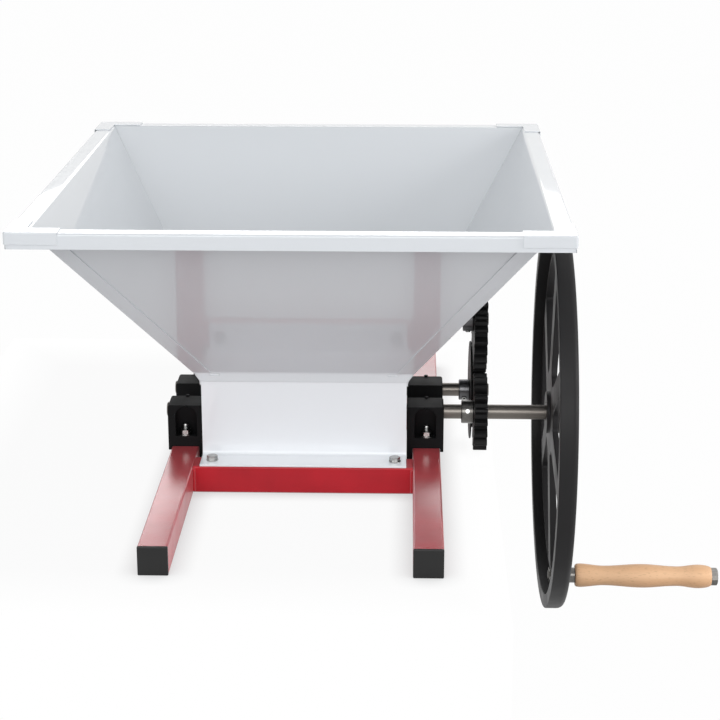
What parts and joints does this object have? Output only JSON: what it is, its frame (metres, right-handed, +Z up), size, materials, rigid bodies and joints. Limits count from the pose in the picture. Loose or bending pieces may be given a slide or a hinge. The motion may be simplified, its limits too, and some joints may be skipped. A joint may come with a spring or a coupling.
{
  "type": "grape crusher",
  "caption": "Hand-cranked grape crusher: flared sheet-metal hopper over geared fluted rollers and an agitator on a tubular rail frame, with a spoked flywheel and wooden handle.",
  "frame": {"origin": "on the plane of the rails' underside, midway between the two rails and midway between the two roller shafts", "axes": "+Z up out of the hopper; +X towards the flywheel, along the roller shafts; +Y from the drive roller to the driven roller, away from the operator's side of the picture"},
  "size_m": [0.6822, 0.629, 0.444],
  "materials": {
    "enamel_white": "glossy white enamel on sheet steel",
    "enamel_red": "glossy red enamel with a slight orange peel",
    "wheel_enamel": "satin black paint on cast iron",
    "gear_iron": "blackened casting",
    "block_plastic": "moulded black plastic",
    "cap_plastic": "moulded black plastic",
    "shaft_steel": "turned steel",
    "zinc_steel": "bright zinc plate",
    "roller_aluminium": "cast aluminium",
    "beech": "turned and oiled beech"
  },
  "bodies": {
    "frame": {"left_rail": "enamel_red", "right_rail": "enamel_red", "front_crossbar": "enamel_red", "rear_crossbar": "enamel_red", "frame_welds": "enamel_red", "rail_end_caps": "cap_plastic", "bearing_block_front_left": "block_plastic", "bearing_block_front_right": "block_plastic", "bearing_block_rear_left": "block_plastic", "bearing_block_rear_right": "block_plastic", "block_bolts": "zinc_steel", "block_nuts": "zinc_steel", "block_washers": "zinc_steel", "front_plate": "enamel_white", "rear_plate": "enamel_white", "left_throat_plate": "enamel_white", "right_throat_plate": "enamel_white", "plate_bolts": "zinc_steel", "plate_washers": "zinc_steel", "plate_rivet_nuts": "zinc_steel", "hopper_front": "enamel_white", "hopper_rear": "enamel_white", "hopper_left": "enamel_white", "hopper_right": "enamel_white", "corner_strips": "enamel_white", "rim_corner_caps": "enamel_white", "agitator_bush_left": "block_plastic", "agitator_bush_right": "block_plastic"},
    "drive": {"drive_shaft": "shaft_steel", "drive_roller": "roller_aluminium", "drive_roller_pins": "zinc_steel", "drive_gear": "gear_iron", "drive_hub": "zinc_steel", "drive_hub_screw": "zinc_steel", "flywheel": "wheel_enamel", "wheel_key": "shaft_steel", "wheel_washer": "zinc_steel", "wheel_nut": "zinc_steel", "handle_bolt": "zinc_steel", "handle_inner_nut": "zinc_steel", "handle_outer_nut": "zinc_steel", "handle_washer": "zinc_steel", "handle_spacer": "zinc_steel"},
    "grip": {"handle_grip": "beech"},
    "driven": {"driven_shaft": "shaft_steel", "driven_roller": "roller_aluminium", "driven_roller_pins": "zinc_steel", "driven_gear": "gear_iron", "driven_collar": "shaft_steel", "driven_collar_screw": "zinc_steel", "guide_disc": "gear_iron"},
    "agitator": {"agitator_shaft": "shaft_steel", "agitator_paddles": "zinc_steel", "agitator_gear": "gear_iron", "agitator_hub": "shaft_steel", "agitator_hub_screw": "zinc_steel", "agitator_retainer": "shaft_steel"}
  },
  "joints": [
    {"name": "drive_spin", "type": "hinge", "parent": "frame", "child": "drive", "pos_m": [0, -0.036, 0.063], "axis": [1, 0, 0], "continuous": true},
    {"name": "driven_spin", "type": "hinge", "parent": "frame", "child": "driven", "pos_m": [0, 0.036, 0.063], "axis": [1, 0, 0], "continuous": true},
    {"name": "agitator_spin", "type": "hinge", "parent": "frame", "child": "agitator", "pos_m": [0, 0.014, 0.14821], "axis": [1, 0, 0], "continuous": true},
    {"name": "grip_spin", "type": "hinge", "parent": "drive", "child": "grip", "pos_m": [0.35, -0.05134, -0.11229], "axis": [1, 0, 0], "continuous": true}
  ],
  "couplings": [
    {"joint": "driven_spin", "follows": "drive_spin", "ratio": -1},
    {"joint": "agitator_spin", "follows": "drive_spin", "ratio": 0.69231}
  ]
}
